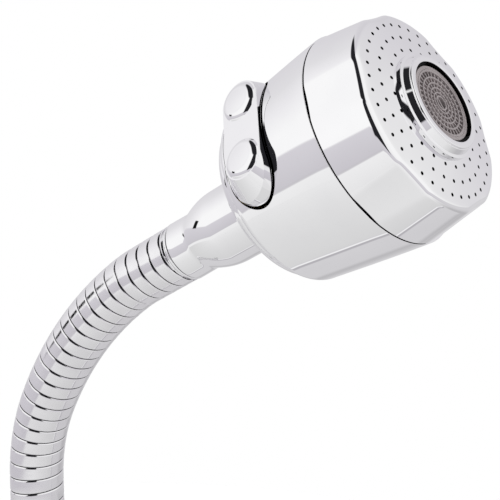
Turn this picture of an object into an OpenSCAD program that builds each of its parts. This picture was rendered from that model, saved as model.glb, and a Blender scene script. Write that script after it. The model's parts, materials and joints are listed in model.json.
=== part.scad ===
// Handheld bath sprayer: two-mode spray head on a stay-put gooseneck hose.
// Units are millimetres. +Z is up, and the origin is the centre of the union nut's open end.
// The gooseneck rises along +Z and bends towards +X. The head is drawn in a frame of its
// own: its z runs forward out of the spray face and its x points to the top of the head.

/* [Gooseneck] */
// Length of the gooseneck casing along its centre line
casing_length = 200; // [150:5:400]
// Outer radius of the casing at the crest of its ribs
casing_r = 8.08; // [7.6:0.02:8.2]
// Depth of the groove between two ribs
rib_depth = 0.4; // [0.2:0.05:0.6]
// Distance from one rib to the next
rib_pitch = 4.444; // [3.5:0.1:6]
// Radius of the casing's bore, to the corners of its section
casing_bore_r = 6.3; // [6.1:0.05:6.6]
// Radius of the bend next to the straight lower run
bend_low_r = 57.5; // [45:2.5:120]
// Angle of the bend next to the straight lower run
bend_low_deg = 26.2; // [10:1:35]
// Radius of the long middle bend
bend_mid_r = 107; // [60:1:160]
// Angle of the long middle bend
bend_mid_deg = 28.7; // [10:1:35]
// Radius of the short bend under the head
bend_top_r = 40; // [35:1:80]
// Angle of the short bend under the head
bend_top_deg = 5.8; // [2:1:15]
// Outer radius of the flexible liner
liner_r = 5.6; // [5.2:0.05:5.7]
// Radius of the liner's bore, to the corners of its section
liner_bore_r = 4.1; // [4.05:0.05:4.6]

/* [End fittings] */
// Radius of the waterway through the tail and the spigot
waterway_r = 2.8; // [2.2:0.1:3]
// Outer radius of the tubes that enter the liner
barb_r = 3.7; // [3.4:0.05:3.7]
// Length of those tubes inside the liner
barb_len = 14; // [8:1:16]
// Outer radius of the crimped ferrule
ferrule_r = 9.1; // [8.9:0.1:11]
// Length of the crimped ferrule
ferrule_len = 16; // [10:1:20]
// Union nut, thread bore radius (half-inch pipe thread)
union_bore_r = 9.32; // [9.3:0.01:9.6]
// Union nut, width across its flats
union_af = 24; // [23:0.5:28]
// Union nut, height
union_h = 14; // [13:0.5:20]
// Union nut, thickness of the roof that bears on the tail's flange
union_roof = 2.5; // [2:0.1:4]
// Thickness of the tail's flange
tail_flange_t = 1.5; // [1.2:0.1:2.5]
// Radius of the tail's neck inside the union nut
tail_neck_r = 7.2; // [6:0.1:7.6]
// Thickness of the rubber washer in the union nut
base_washer_t = 2; // [1.5:0.1:3]

/* [Cone nut and swivel] */
// Radius of the cone nut's straight bell
nut_r = 10.16; // [9.9:0.02:11]
// Radius of the cone nut at its narrow mouth
nut_mouth_r = 8.2; // [8:0.05:9]
// Length of the cone nut
nut_len = 31; // [30:0.5:36]
// Length of the straight bell before the cone starts
nut_bell_len = 16.6; // [14:0.1:20]
// Length of the cone
nut_cone_len = 8.4; // [6:0.1:9]
// Radius of the neck that turns inside the cone nut
swivel_neck_r = 6.4; // [5:0.1:6.6]
// Thickness of the swivel flange
swivel_flange_t = 1.6; // [1.2:0.1:2]
// Thickness of the collar that the casing seats on
seat_collar_t = 0.6; // [0.5:0.1:1.5]
// Depth of the narrow end of the nut, from its mouth to the swivel shoulder
swivel_seat_depth = 11.5; // [10:0.5:13]
// Outer radius of the valve stub (three-eighths pipe thread)
stub_r = 8.33; // [8.3:0.01:8.4]
// Thickness of the inlet washer
inlet_washer_t = 1.6; // [1:0.1:2]

/* [Shell] */
// Largest radius of the rear shell
shell_r = 27.2; // [27:0.1:30]
// Radius that the shell loses along its taper
shell_drop = 3.0; // [2:0.1:4]
// Length of the tapered part of the shell
shell_taper_len = 27.6; // [27:0.2:32]
// Distance from the spray face to the seam between bezel and shell
seam_z = 13.94; // [13.5:0.1:16]
// Distance from the seam to the start of the taper
shell_straight = 1.1; // [0.5:0.1:3]
// Height of the domed back of the shell
dome_h = 5; // [4:0.25:8]
// Rounding of the shell's rear edge
rear_edge_r = 1.5; // [0.8:0.1:2.5]
// Radius of the shell's bore
shell_bore_r = 22.6; // [22:0.1:22.8]
// Radius that the bore loses towards the back, for draft
shell_draft = 0.7; // [0.2:0.1:1]
// Thickness of the shell's back wall
back_wall = 2.6; // [2:0.1:3.5]

/* [Bezel and spray face] */
// Radius of the bezel's side at the seam
bezel_r = 27.1; // [26.9:0.1:30]
// Radius of the bezel's side where it would meet the face plane
bezel_front_r = 25; // [24.8:0.1:26]
// Rounding of the bezel's front edge
bezel_edge_r = 1.3; // [0.8:0.1:1.6]
// Distance from the head axis to a finger flat, at the face plane
flat_front = 24.38; // [24.2:0.02:25]
// Lean of the finger flats
flat_lean = 9.75; // [8:0.25:10]
// Thickness of the spray face
face_t = 1.6; // [1.2:0.1:2]
// Rise of the conical face for each millimetre towards its centre
face_slope = 0.137; // [0.05:0.01:0.2]
// Angle of the holes and finger flats round the head axis
face_clock = 7.8; // [0:0.2:59]
// Radius of one spray hole
hole_r = 0.5; // [0.4:0.05:0.7]
// Radius of the outer ring of holes
ring_1_r = 21.84; // [21:0.02:22]
// Radius of the middle ring of holes
ring_2_r = 18.34; // [17:0.02:19.5]
// Radius of the inner ring of holes
ring_3_r = 14.83; // [14.5:0.02:15.8]
// Holes in the outer ring
ring_1_n = 38; // [20:1:44]
// Holes in the middle ring
ring_2_n = 30; // [16:1:36]
// Holes in the inner ring
ring_3_n = 22; // [12:1:28]

/* [Aerator] */
// Radius of the collar's foot on the face
collar_foot_r = 13.1; // [12.9:0.05:13.9]
// Radius of the collar's side above its foot
collar_side_r = 12.5; // [12.3:0.05:12.8]
// Radius of the collar's side at the rim
collar_rim_r = 11.7; // [11.4:0.05:12]
// Height of the rim in front of the outer ring of holes
collar_h = 4.18; // [3.6:0.1:6]
// Radius of the recess inside the rim
collar_mouth_r = 10.14; // [10:0.02:10.4]
// Radius of the collar's thread
collar_thread_r = 11.6; // [11.3:0.05:11.7]
// Length of the collar's thread below the face
collar_thread_len = 8; // [7:0.5:9]
// Radius of the insert's face
insert_r = 9.41; // [9:0.02:9.6]
// Depth of the insert's face below the rim
insert_drop = 0.38; // [0.2:0.1:1.2]
// Thickness of the insert's grille
grille_t = 1.2; // [0.8:0.1:1.6]
// Thickness of the grille's ribs
grille_rib = 0.34; // [0.25:0.05:0.5]

/* [Diverter] */
// Angle of the rocker from the top of the head
rocker_clock = 59.4; // [0:0.2:180]
// Distance from the rocker's centre to the end of the shell's taper
rocker_inset = 7.44; // [7.2:0.02:7.6]
// Half the rocker's width along the head
rocker_hw = 6.9; // [6:0.1:7]
// Distance from the rocker's middle to the centre of each rounded end
rocker_end = 9.7; // [9:0.1:10.4]
// Height of the rocker's flat top above the shell at its front
rocker_step = 1.3; // [0.8:0.1:1.6]
// Radius of a thumb pad's flat top
pad_r = 5.4; // [4.8:0.1:5.4]
// Distance from the rocker's middle to the centre of each thumb pad
pad_reach = 8.1; // [7.6:0.1:8.6]
// Distance of the pads' centres in front of the rocker's middle
pad_fore = 1.4; // [1:0.1:1.5]
// Lean of the pads' sides from upright
pad_lean = 30; // [20:1:32]
// Height of a pad's domed crown
pad_dome = 1.4; // [0.8:0.1:2]
// Distance from the head axis to the rocker's pin
pivot_r = 20.4; // [20:0.1:20.6]
// Radius of the rocker's pin
pin_r = 1.2; // [1:0.05:1.4]
// Distance from the head axis to the axis of the spool
spool_axis_r = 10.4; // [10:0.1:11]
// Radius of the spool
spool_r = 4; // [3.6:0.05:4.2]
// Half the length of the spool
spool_half = 8.2; // [7.8:0.1:8.4]
// Turn of the rocker each way
rocker_deg = 6; // [3:0.5:6]

/* [Hidden] */

// clearances
fit = 0.05;         // running fit, on the radius
slip = 0.1;         // loose fit of pieces that are screwed or pushed together
seat = 0.02;        // faces that rest on one another
part_gap = 0.3;     // visible shadow gap between two pieces
eps = 0.01;
round_fn = 64;

// lower end, heights above the open end of the union nut
nut_roof_z = union_h - union_roof;
flange_z = nut_roof_z - fit - tail_flange_t;
washer_z = flange_z - base_washer_t;
tail_shoulder_z = union_h + part_gap;
ferrule_z = tail_shoulder_z + 1;
ferrule_floor = 1.2;
casing_z = ferrule_z + ferrule_floor;

// centre line of the gooseneck: [x, z] knots and headings from the vertical
head_tilt = bend_low_deg + bend_mid_deg + bend_top_deg;
straight_top = 2 * casing_r;
arc_low = bend_low_r * bend_low_deg * PI / 180;
arc_mid = bend_mid_r * bend_mid_deg * PI / 180;
arc_top = bend_top_r * bend_top_deg * PI / 180;
straight_low = casing_length - arc_low - arc_mid - arc_top - straight_top;
head_mid_deg = bend_low_deg + bend_mid_deg;
function heading(a) = [sin(a), cos(a)];
function arc_end(p, a, r, t) = p + r * [cos(a) - cos(a + t), sin(a + t) - sin(a)];
k0 = [0, casing_z];
k1 = k0 + straight_low * heading(0);
k2 = arc_end(k1, 0, bend_low_r, bend_low_deg);
k3 = arc_end(k2, bend_low_deg, bend_mid_r, bend_mid_deg);
k4 = arc_end(k3, head_mid_deg, bend_top_r, bend_top_deg);
k5 = k4 + straight_top * heading(head_tilt);
s1 = straight_low;
s2 = s1 + arc_low;
s3 = s2 + arc_mid;
s4 = s3 + arc_top;
function path_deg(s) =
    s < s1 ? 0 :
    s < s2 ? (s - s1) / bend_low_r * 180 / PI :
    s < s3 ? bend_low_deg + (s - s2) / bend_mid_r * 180 / PI :
    s < s4 ? head_mid_deg + (s - s3) / bend_top_r * 180 / PI : head_tilt;
function path_pt(s) =
    s < s1 ? k0 + s * heading(0) :
    s < s2 ? arc_end(k1, 0, bend_low_r, path_deg(s)) :
    s < s3 ? arc_end(k2, bend_low_deg, bend_mid_r, path_deg(s) - bend_low_deg) :
    s < s4 ? arc_end(k3, head_mid_deg, bend_top_r, path_deg(s) - head_mid_deg) :
    k4 + (s - s4) * heading(head_tilt);

// head stations, measured back from the spray face
shell_z = seam_z + part_gap;
taper_z = seam_z + shell_straight;
rear_z = taper_z + shell_taper_len;
rocker_z = rear_z - rocker_inset;
dome_z = rear_z + 2.5;
back_z = dome_z + dome_h;
nut_z = back_z + part_gap;
mouth_z = nut_z + nut_len;
swivel_z = mouth_z - swivel_seat_depth;
inlet_flange_z = swivel_z - fit - swivel_flange_t;
inlet_washer_z = inlet_flange_z - fit - inlet_washer_t;
stub_end_z = inlet_washer_z;
collar_seat_z = mouth_z + part_gap;
casing_end_z = collar_seat_z + seat_collar_t;
casing_top_z = casing_end_z + seat;
head_at = k5 + casing_top_z * heading(head_tilt);

// radii shared by mating pieces
nut_bore_r = stub_r + slip;
rim_r = 24;                           // thread of the shell's front rim
rim_z = 7.5;
gasket_t = 0.8;
bezel_step_z = rim_z - gasket_t;
face_hole_r = collar_thread_r + slip;
tube_r = face_hole_r + 1.5;
spigot_r = 7.5;                       // valve spigot that carries the centre tube
spigot_len = 4;
core_flange_z = 21;
core_flange_t = 4;
core_r = 17;
centre_bore_r = 5;
tube_seat_z = collar_thread_len + 1.6;
insert_z = collar_h - insert_drop;    // front of the aerator insert
lug_hw = 2;
lug_t = 2.3;
hub_half = rocker_hw - 3.1;
rocker_top = shell_side(rocker_z - rocker_hw) + rocker_step;
pad_depth = 7;       // the pads' sides reach this far below their tops
pad_flare = pad_depth * tan(pad_lean);
arm_len = pivot_r - spool_axis_r;
tip_r = 1.9;
seal_r = 0.6;
core_top_z = back_z - back_wall - 2;  // inside of the shell's back wall
core_z = core_top_z - 1.5;
seal_far = spool_half - 1;            // seals of the spool, from its middle
seal_near = tip_r + 1.4;
screw_ring_r = 19.7;
screw_head_z = core_flange_z - 1.8;
screw_end_z = core_flange_z + core_flange_t + 9;
screw_turns = [for (i = [0:2]) rocker_clock + 60 + 120 * i];  // clear of the rocker
window_r = 13;
window_gap = 0.45;   // lets the rocker's ends swing

chrome = [0.86, 0.86, 0.88];
steel = [0.7, 0.7, 0.72];
brass = [0.8, 0.65, 0.3];
rubber = [0.12, 0.12, 0.13];
grey = [0.63, 0.6, 0.59];
white = [0.9, 0.9, 0.88];

// points of a fillet of radius r at corner p, between the points a and b
function fillet(a, p, b, r, n = 5) =
    let (u = (a - p) / norm(a - p), v = (b - p) / norm(b - p), h = acos(u * v) / 2)
    let (c = p + (u + v) / norm(u + v) * r / sin(h), q = p + u * r / tan(h), w = p + v * r / tan(h))
    let (a1 = atan2(q.y - c.y, q.x - c.x), a2 = atan2(w.y - c.y, w.x - c.x))
    let (d = (a2 - a1 + 540) % 360 - 180)
    [for (i = [0:n]) c + r * [cos(a1 + d * i / n), sin(a1 + d * i / n)]];

// height of the conical spray face at radius r
function face_h(r) = (ring_1_r - r) * face_slope;
// outer radius of the bezel at distance z behind the face plane
function bezel_side(z) = bezel_front_r + (bezel_r - bezel_front_r) * z / seam_z;
// outer radius of the shell at distance z behind the face plane
function shell_side(z) = shell_r - shell_drop * pow(max(0, z - taper_z) / shell_taper_len, 1.4);

module head_frame() {
    translate([head_at.x, 0, head_at.y])
        rotate([0, head_tilt, 0])
            rotate([0, 0, 180])
                children();
}

// turns children that are drawn on the rocker's centre line: x out, y round, z forward
module diverter_frame() {
    rotate([0, 0, rocker_clock])
        translate([0, 0, -rocker_z])
            children();
}

// a disc or a rod from z0 to z1 behind the face plane
module rod(r, z0, z1, fn = round_fn) {
    translate([0, 0, -z1])
        cylinder(r = r, h = z1 - z0, $fn = fn);
}

module ring(r, bore, z0, z1) {
    difference() {
        rod(r, z0, z1);
        rod(bore, z0 - eps, z1 + eps);
    }
}

casing_sides = 12;
groove_line_deg = 47;  // the side at which the lowest groove leaves the foot
end_land = 0.3;        // stub of a rib that is left out at an end

// section of the liner at s along the centre line
tube_sides = 8;
function tube_ring(s, r) =
    let (p = path_pt(s), a = path_deg(s))
    [for (j = [0:tube_sides - 1])
        let (c = cos(360 * (j + 0.5) / tube_sides) * r, b = sin(360 * (j + 0.5) / tube_sides) * r)
        [p.x + c * cos(a), b, p.y - c * sin(a)]];
// triangles that join ring i to ring k
function band(i, k) =
    [for (j = [0:tube_sides - 1])
        let (m = (j + 1) % tube_sides, a = i * tube_sides, c = k * tube_sides)
        each [[a + j, c + m, a + m], [a + j, c + j, c + m]]];

// a tube along the centre line; stations are [s, r], up the outside and back down the bore
module path_tube(stations) {
    n = len(stations);
    points = [for (q = stations) each tube_ring(q[0], q[1])];
    polyhedron(points = points, faces = [for (i = [0:n - 1]) each band(i, (i + 1) % n)], convexity = 10);
}

// stations from s0 to s1 at a steady radius
function plain_run(s0, s1, r) =
    let (n = round(abs(s1 - s0) / 6.5))
    [for (i = [0:n]) [s0 + (s1 - s0) * i / n, r]];

// point of the casing at s along the centre line, turned w from the side that faces +X
function casing_pt(s, w, r) =
    let (p = path_pt(s), a = path_deg(s))
    [p.x + r * cos(w) * cos(a), -r * sin(w), p.y - r * cos(w) * sin(a)];
function side_deg(j) = -360 * j / casing_sides;

// the casing is one strip that climbs a rib in each turn; what would run past an end joins its ring
module hose_casing() {
    ribs = round(casing_length / rib_pitch);
    pitch = casing_length / ribs;
    section = [[0, casing_r - rib_depth], [0.15, casing_r], [0.85, casing_r]];
    n = len(section);
    sides = casing_sides;
    rows = (ribs + 2) * n;
    function strip_s(i, j) =
        (floor(i / n) - 2 + section[i % n][0] + (groove_line_deg - side_deg(j)) / 360) * pitch;
    inner = plain_run(casing_length, 0, casing_bore_r);
    rings = concat([[0, casing_r - rib_depth], [casing_length, casing_r - rib_depth]], inner);
    ring_0 = (rows + 1) * sides;
    points = concat(
        [for (i = [0:rows]) for (j = [0:sides - 1])
            casing_pt(min(max(strip_s(i, j), 0), casing_length), side_deg(j), section[i % n][1])],
        [for (q = rings) for (j = [0:sides - 1]) casing_pt(q[0], side_deg(j), q[1])]);
    function strip_at(i, j) =
        strip_s(i, j) < end_land ? ring_0 + j :
        strip_s(i, j) > casing_length - end_land ? ring_0 + sides + j : i * sides + j;
    function beside(i, j) = j < sides - 1 ? strip_at(i, j + 1) : strip_at(i + n, 0);
    strip = [for (i = [0:rows - 1]) for (j = [0:sides - 1]) if (j < sides - 1 || i < rows - n)
        each [[strip_at(i, j), beside(i + 1, j), beside(i, j)],
              [strip_at(i, j), strip_at(i + 1, j), beside(i + 1, j)]]];
    bore = [for (k = [1:len(rings) - 1]) for (j = [0:sides - 1])
        let (a = ring_0 + k * sides, c = k < len(rings) - 1 ? a + sides : ring_0, m = (j + 1) % sides)
        each [[a + j, c + m, a + m], [a + j, c + j, c + m]]];
    color(steel)
        polyhedron(points = points, convexity = 10,
            faces = [for (f = concat(strip, bore)) if (f[0] != f[1] && f[1] != f[2] && f[2] != f[0]) f]);
}

module inner_hose() {
    top = casing_length - part_gap;
    color(white)
        path_tube(concat(plain_run(part_gap, top, liner_r), plain_run(top, part_gap, liner_bore_r)));
}

module lower_tail() {
    color(brass)
        difference() {
            rotate_extrude($fn = round_fn)
                polygon([[0, flange_z], [union_bore_r - part_gap, flange_z],
                         [union_bore_r - part_gap, flange_z + tail_flange_t],
                         [tail_neck_r, flange_z + tail_flange_t], [tail_neck_r, tail_shoulder_z],
                         [casing_r - 0.1, tail_shoulder_z], [casing_r - 0.1, ferrule_z],
                         [barb_r, ferrule_z], [barb_r, casing_z + barb_len - 1],
                         [barb_r - 0.5, casing_z + barb_len], [0, casing_z + barb_len]]);
            translate([0, 0, -1])
                cylinder(r = waterway_r, h = casing_z + barb_len + 2, $fn = 32);
        }
}

module lower_ferrule() {
    bore = casing_r + slip;
    crimp = 0.25;
    top = ferrule_z + ferrule_len;
    color(chrome)
        difference() {
            rotate_extrude($fn = round_fn)
                polygon(concat([[barb_r + fit, ferrule_z]],
                    fillet([barb_r, ferrule_z], [ferrule_r, ferrule_z], [ferrule_r, top], 0.6, 4),
                    [for (i = [0:2]) each let (z = ferrule_z + ferrule_len * (0.3 + 0.2 * i))
                        [[ferrule_r, z - 0.7], [ferrule_r - crimp, z - 0.35],
                         [ferrule_r - crimp, z + 0.35], [ferrule_r, z + 0.7]]],
                    fillet([ferrule_r, ferrule_z], [ferrule_r, top], [bore, top], 0.4, 4),
                    [[bore, top], [bore, casing_z], [barb_r + fit, casing_z]]));
        }
}

module union_nut() {
    corner = union_af / sqrt(3);
    color(chrome)
        difference() {
            intersection() {
                cylinder(r = corner, h = union_h, $fn = 6);
                rotate_extrude($fn = round_fn)
                    polygon([[0, 0], [corner - 1.2, 0], [corner + 0.05, 1], [corner + 0.05, union_h - 2],
                             [corner - 2.4, union_h], [0, union_h]]);
            }
            // threaded stretch, relief for the washer and flange, hole for the neck
            translate([0, 0, -1])
                cylinder(r = union_bore_r, h = washer_z + 1.5, $fn = round_fn);
            translate([0, 0, washer_z])
                cylinder(r = union_bore_r + 0.3, h = nut_roof_z - washer_z, $fn = round_fn);
            cylinder(r = tail_neck_r + fit, h = union_h + 1, $fn = round_fn);
        }
}

module base_washer() {
    color(rubber)
        translate([0, 0, washer_z])
            difference() {
                cylinder(r = union_bore_r - 0.2, h = base_washer_t, $fn = round_fn);
                translate([0, 0, -1])
                    cylinder(r = waterway_r + 2.2, h = base_washer_t + 2, $fn = round_fn);
            }
}

module upper_spigot() {
    barb_end = casing_end_z + barb_len;
    color(brass)
        head_frame()
            difference() {
                rotate_extrude($fn = round_fn)
                    polygon([[0, -inlet_flange_z], [nut_bore_r - fit, -inlet_flange_z],
                             [nut_bore_r - fit, -inlet_flange_z - swivel_flange_t],
                             [swivel_neck_r, -inlet_flange_z - swivel_flange_t],
                             [swivel_neck_r, -collar_seat_z], [casing_r - rib_depth, -collar_seat_z],
                             [casing_r - rib_depth, -casing_end_z], [barb_r, -casing_end_z],
                             [barb_r, -barb_end + 1], [barb_r - 0.5, -barb_end], [0, -barb_end]]);
                rod(waterway_r, inlet_flange_z - 1, barb_end + 1);
            }
}

module cone_nut() {
    cone_z = nut_z + nut_bell_len;
    neck_z = cone_z + nut_cone_len;
    // the cone leaves the bell in a round shoulder and meets the mouth in a tight one
    curve = [for (i = [0:10]) [nut_mouth_r + (nut_r - nut_mouth_r) * pow(1 - pow(i / 10, 1.8), 1.1),
                               -cone_z - nut_cone_len * i / 10]];
    color(chrome)
        head_frame()
            difference() {
                rotate_extrude($fn = round_fn)
                    polygon(concat([[0, -nut_z]],
                        fillet([0, -nut_z], [nut_r, -nut_z], [nut_r, -cone_z], 0.5, 3),
                        curve,
                        fillet([nut_mouth_r, -neck_z], [nut_mouth_r, -mouth_z], [0, -mouth_z], 0.4, 3),
                        [[0, -mouth_z]]));
                rod(nut_bore_r, nut_z - 1, swivel_z);
                rod(swivel_neck_r + fit, nut_z, mouth_z + 1);
            }
}

module inlet_washer() {
    color(rubber)
        head_frame()
            ring(stub_r - 0.3, waterway_r + 1.9, inlet_washer_z, inlet_washer_z + inlet_washer_t);
}

module filter_screen() {
    // a rimmed disc with a square mesh, held in the bore of the inlet washer
    mesh_r = waterway_r + 1.8;
    z0 = inlet_washer_z + 0.3;
    step = 1.6;
    color(steel)
        head_frame()
            difference() {
                rod(mesh_r, z0, z0 + 0.6, 32);
                for (x = [-1:1])
                    for (y = [-1:1])
                        translate([x * step - 0.6, y * step - 0.6, -z0 - 1])
                            cube([1.2, 1.2, 2]);
            }
}

module stadium(hw, end) {
    square([2 * hw, 2 * end], center = true);
    for (s = [-1, 1])
        translate([0, s * end])
            circle(r = hw, $fn = 48);
}

// the rocker's outline, drawn out along its centre line from radius r0 to r1
module rocker_prism(grow, r0, r1) {
    diverter_frame()
        translate([r0, 0, 0])
            rotate([0, 90, 0])
                linear_extrude(r1 - r0)
                    stadium(rocker_hw + grow, rocker_end);
}

module rear_shell() {
    steps = 12;
    side = [for (i = [0:steps - 1]) let (z = taper_z + shell_taper_len * i / steps) [shell_side(z), -z]];
    corner = [shell_side(rear_z) - 0.35, -rear_z - 1.5];
    boss_r = nut_r + 1;
    boss_z = core_flange_z + core_flange_t + seat;
    bore_z = boss_z + 2;
    dome = [for (i = [1:7]) [boss_r + (corner.x - 1.2 - boss_r) * cos(90 * i / 8),
                             -dome_z - dome_h * sin(90 * i / 8) * 0.92]];
    color(chrome)
        head_frame()
            difference() {
                rotate_extrude($fn = 96)
                    polygon(concat([[stub_r + part_gap, -rim_z], [rim_r, -rim_z], [rim_r, -shell_z],
                                    [bezel_r, -shell_z]],
                        side,
                        fillet([shell_side(rear_z - 2), -rear_z + 2], corner, dome[0], rear_edge_r, 6),
                        dome,
                        [[boss_r, -back_z], [stub_r + part_gap, -back_z]]));
                difference() {
                    union() {
                        rod(shell_bore_r, rim_z - 1, bore_z, 96);
                        translate([0, 0, -core_top_z])
                            cylinder(r1 = shell_bore_r - shell_draft, r2 = shell_bore_r,
                                h = core_top_z - bore_z, $fn = 96);
                    }
                    // bosses of the core's screws
                    for (a = screw_turns)
                        rotate([0, 0, a])
                            translate([screw_ring_r, 0, 0])
                                rod(2.5, boss_z, back_z, 32);
                }
                for (a = screw_turns)
                    rotate([0, 0, a])
                        translate([screw_ring_r, 0, 0])
                            rod(1.25, boss_z - 1, screw_end_z + 1, 16);
                rocker_prism(window_gap, window_r, shell_r + 10);
            }
}

module valve_body() {
    port_y = spool_half - 3;
    chamber_y = spool_half + 0.7;
    color(brass)
        head_frame()
            difference() {
                union() {
                    rod(shell_bore_r - slip, core_flange_z, core_flange_z + core_flange_t);
                    rod(core_r, core_flange_z, core_z);
                    rod(11, core_z - 1, core_top_z - seat);
                    rod(stub_r, core_z, stub_end_z);
                    rod(spigot_r, core_flange_z - spigot_len, core_flange_z + 1);
                    diverter_frame()
                        for (s = [-1, 1]) {
                            lug = s > 0 ? hub_half + slip : -hub_half - slip - lug_t;
                            translate([core_r - 2, -lug_hw, lug])
                                cube([pivot_r - core_r + 2, 2 * lug_hw, lug_t]);
                            translate([pivot_r, 0, lug])
                                cylinder(r = lug_hw, h = lug_t, $fn = 32);
                        }
                }
                // groove of the core's seal
                ring(shell_bore_r + 1, shell_bore_r - 1.3, core_flange_z + 1.3, core_flange_z + 2.7);
                // groove of the centre tube's seal
                ring(spigot_r + 1, spigot_r - 1, core_flange_z - 2.9, core_flange_z - 1.5);
                // outlet to the aerator, and inlet from the hose
                rod(centre_bore_r, core_flange_z - spigot_len - 1, rocker_z + 4, 32);
                rod(centre_bore_r, core_z - 1, stub_end_z + 1, 32);
                for (a = screw_turns)
                    rotate([0, 0, a])
                        translate([screw_ring_r, 0, 0])
                            rod(1.25, core_flange_z - 1, core_flange_z + core_flange_t + 1, 16);
                diverter_frame() {
                    // bore of the spool
                    translate([spool_axis_r, 0, 0])
                        rotate([90, 0, 0])
                            cylinder(r = spool_r + fit, h = 60, center = true, $fn = 48);
                    // slot of the rocker's arm
                    translate([spool_axis_r, -3.4, -2.4])
                        cube([core_r, 6.8, 4.8]);
                    // pin holes
                    translate([pivot_r, 0, 0])
                        cylinder(r = pin_r + 0.02, h = 40, center = true, $fn = 32);
                    // outlet to the ring of spray holes
                    translate([spool_axis_r, port_y, 0])
                        cylinder(r = 1.6, h = rocker_z, $fn = 24);
                    // outlet to the centre bore
                    translate([spool_axis_r, -port_y, 0])
                        rotate([0, 0, 90 + atan2(spool_axis_r, port_y)])
                            rotate([0, 90, 0])
                                cylinder(r = 1.6, h = norm([spool_axis_r, port_y]) - 1, $fn = 24);
                    // inlets to the two ends of the spool
                    for (s = [-1, 1])
                        drill([spool_axis_r, s * chamber_y, 0], [0, 0, rocker_z - core_z - 1], 1.5);
                }
            }
}

// a drilled hole of radius r from point a to point b
module drill(a, b, r) {
    d = b - a;
    translate(a)
        rotate([0, acos(d.z / norm(d)), atan2(d.y, d.x)])
            cylinder(r = r, h = norm(d), $fn = 24);
}

module oring(major, minor, z) {
    translate([0, 0, -z])
        rotate_extrude($fn = round_fn)
            translate([major, 0])
                circle(r = minor, $fn = 24);
}

module core_oring() {
    color(rubber)
        head_frame()
            oring(shell_bore_r - 0.67, 0.6, core_flange_z + 2);
}

module centre_oring() {
    color(rubber)
        head_frame()
            oring(spigot_r - 0.42, 0.45, core_flange_z - 2.2);
}

module core_screws() {
    color(steel)
        head_frame()
            for (a = screw_turns)
                rotate([0, 0, a])
                    translate([screw_ring_r, 0, 0])
                        difference() {
                            union() {
                                rod(2.2, screw_head_z, core_flange_z, 32);
                                rod(1.2, core_flange_z - 0.5, screw_end_z, 16);
                            }
                            for (b = [0, 90])
                                rotate([0, 0, b])
                                    translate([-1.4, -0.3, -screw_head_z - 0.9])
                                        cube([2.8, 0.6, 2]);
                        }
}

module bore_plugs() {
    y0 = spool_half + 1.4;
    color(brass)
        head_frame()
            diverter_frame()
                for (s = [-1, 1])
                    translate([spool_axis_r, 0, 0])
                        rotate([-90 * s, 0, 0])
                            translate([0, 0, y0])
                                difference() {
                                    cylinder(r = spool_r + 0.02, h = 2.6, $fn = 48);
                                    translate([-2, -0.4, 1.8])
                                        cube([4, 0.8, 2]);
                                }
}

module spool() {
    color(white)
        head_frame()
            diverter_frame()
                translate([spool_axis_r, 0, 0])
                    difference() {
                        rotate([90, 0, 0])
                            rotate_extrude($fn = 48)
                                polygon(concat([[0, -spool_half]],
                                    [for (s = [-1, 1]) each s < 0 ?
                                        concat([[spool_r, -spool_half]], seal_groove(-seal_far), seal_groove(-seal_near)) :
                                        concat(seal_groove(seal_near), seal_groove(seal_far), [[spool_r, spool_half]])],
                                    [[0, spool_half]]));
                        translate([-tip_r - 0.15, -tip_r - fit, -2.3])
                            cube([20, 2 * (tip_r + fit), 4.6]);
                    }
}

function seal_groove(y) = [[spool_r, y - seal_r - 0.05], [spool_r - 2 * seal_r, y - seal_r - 0.05],
                           [spool_r - 2 * seal_r, y + seal_r + 0.05], [spool_r, y + seal_r + 0.05]];

module spool_orings() {
    color(rubber)
        head_frame()
            diverter_frame()
                translate([spool_axis_r, 0, 0])
                    rotate([90, 0, 0])
                        for (y = [-seal_far, -seal_near, seal_near, seal_far])
                            oring(spool_r - seal_r + 0.02, seal_r, y);
}

// a thumb pad: a round foot that narrows to its flat top, and a low crown
module pad(side) {
    crown_r = pad_r - 0.3;
    ball_r = (crown_r * crown_r + pad_dome * pad_dome) / (2 * pad_dome);
    crown_deg = asin(crown_r / ball_r);
    translate([rocker_top, side * pad_reach, pad_fore])
        rotate([0, 90, 0])
            rotate_extrude($fn = 48)
                polygon(concat([[0, -pad_depth], [pad_r + pad_flare, -pad_depth], [pad_r, 0]],
                    [for (i = [0:4]) let (a = crown_deg * (1 - i / 5))
                        [ball_r * sin(a), pad_dome - ball_r * (1 - cos(a))]],
                    [[0, pad_dome]]));
}

// the flat between the two pads
module pad_bridge() {
    rotate([90, 0, 0])
        linear_extrude(2 * pad_reach, center = true)
            polygon([[rocker_top - pad_depth, pad_fore - pad_r - pad_flare], [rocker_top, pad_fore - pad_r],
                     [rocker_top, pad_fore + pad_r], [rocker_top - pad_depth, pad_fore + pad_r + pad_flare]]);
}

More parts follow.
